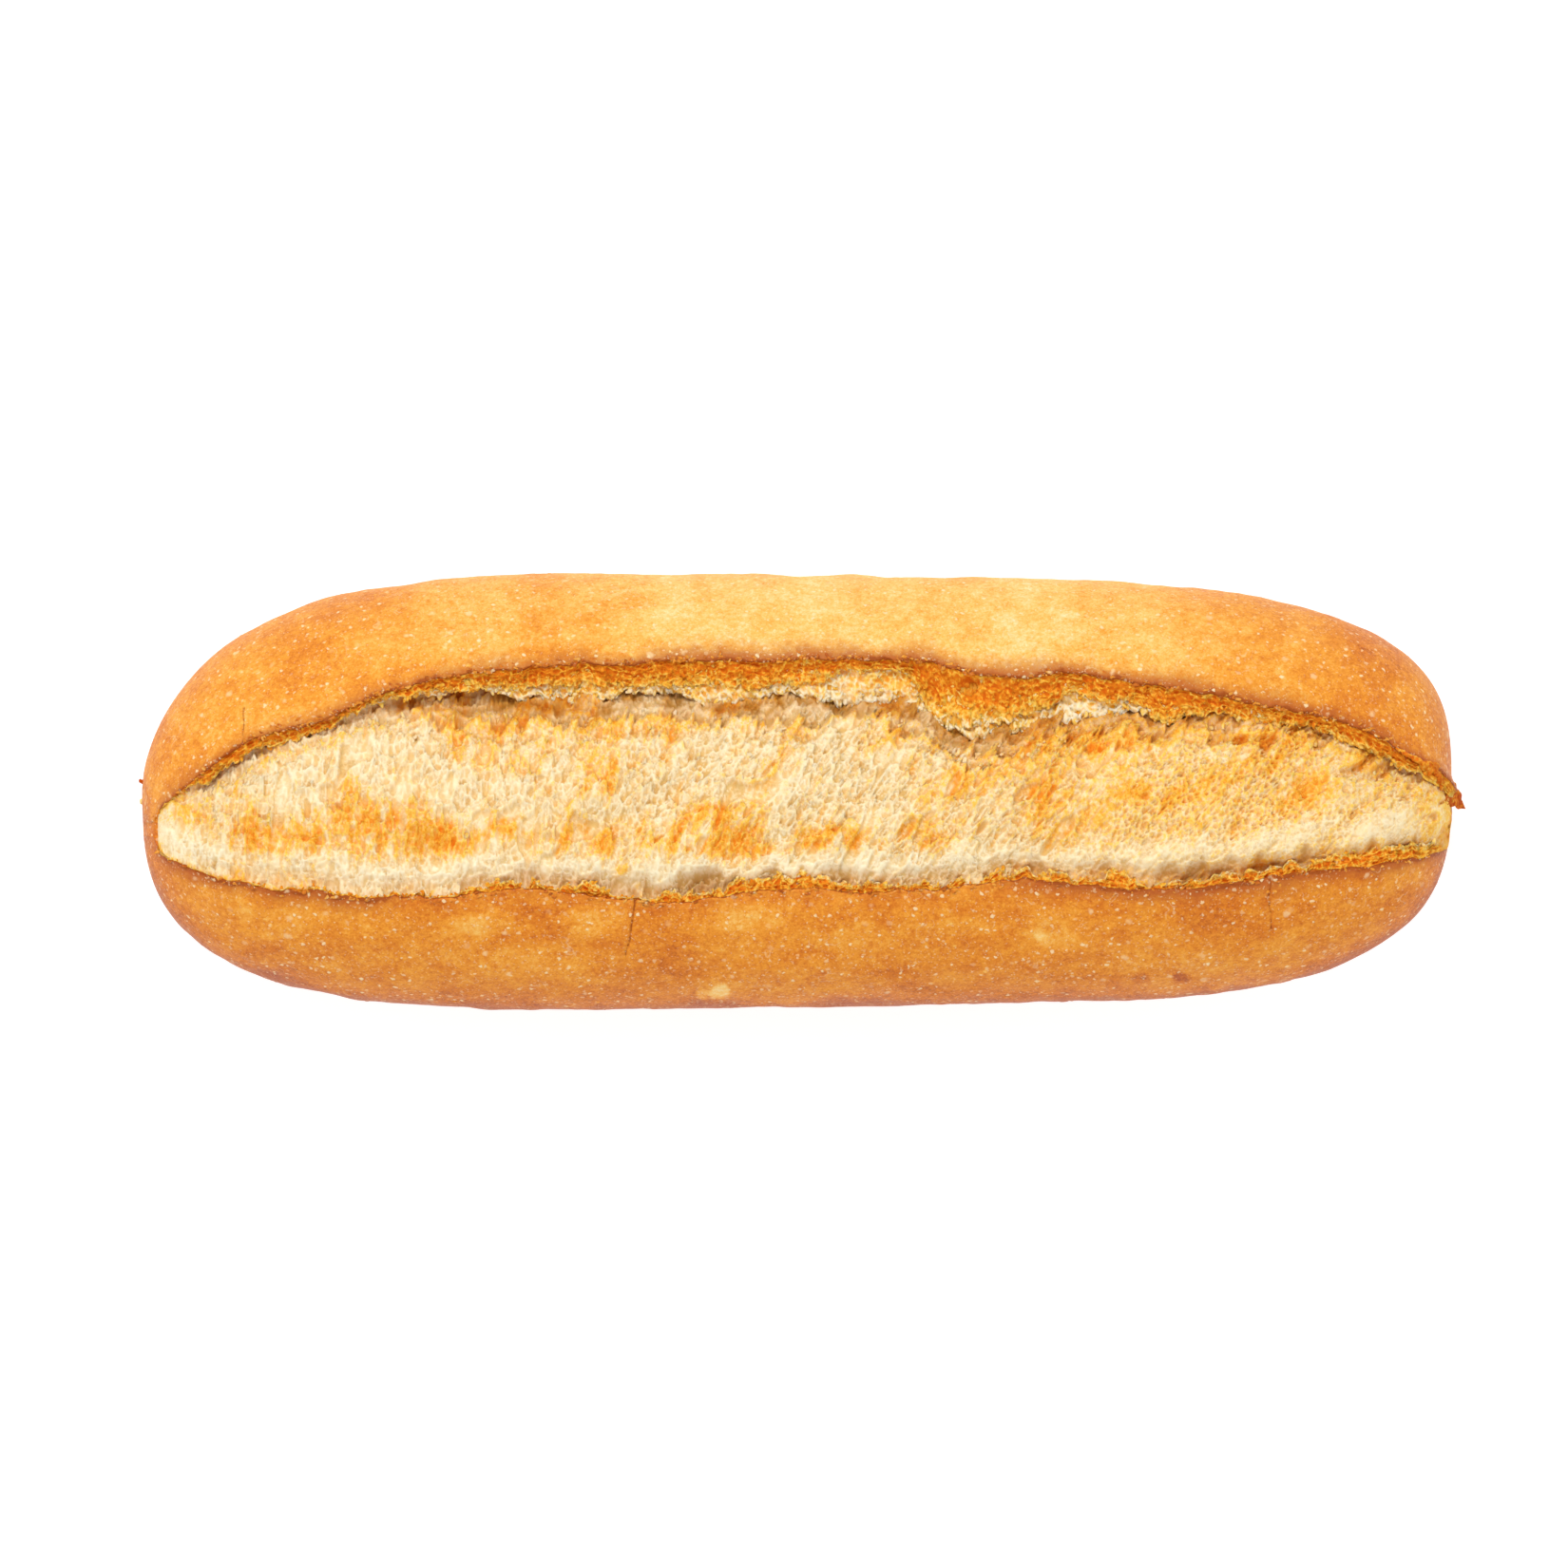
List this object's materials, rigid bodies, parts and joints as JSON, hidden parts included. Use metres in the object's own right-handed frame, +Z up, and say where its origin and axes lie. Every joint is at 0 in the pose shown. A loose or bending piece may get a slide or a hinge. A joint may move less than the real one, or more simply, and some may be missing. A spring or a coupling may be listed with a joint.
{
  "type": "baguette",
  "caption": "Short crusty baguette with rounded ends and one long torn slash along its top, where the pale crumb has burst open; it rests on a flat base.",
  "frame": {"origin": "centre of the overall box at the level of the flat base", "axes": "+X along the loaf towards the end where the upper lip ends in a torn point, +Y across it towards the raised lip, +Z up"},
  "size_m": [0.2404, 0.0789, 0.0551],
  "materials": {
    "crust": "satin golden-brown crust with fine pale blisters, toasted edges and matt cream crumb in the slash"
  },
  "bodies": {
    "root": {"loaf": "crust"}
  },
  "joints": []
}
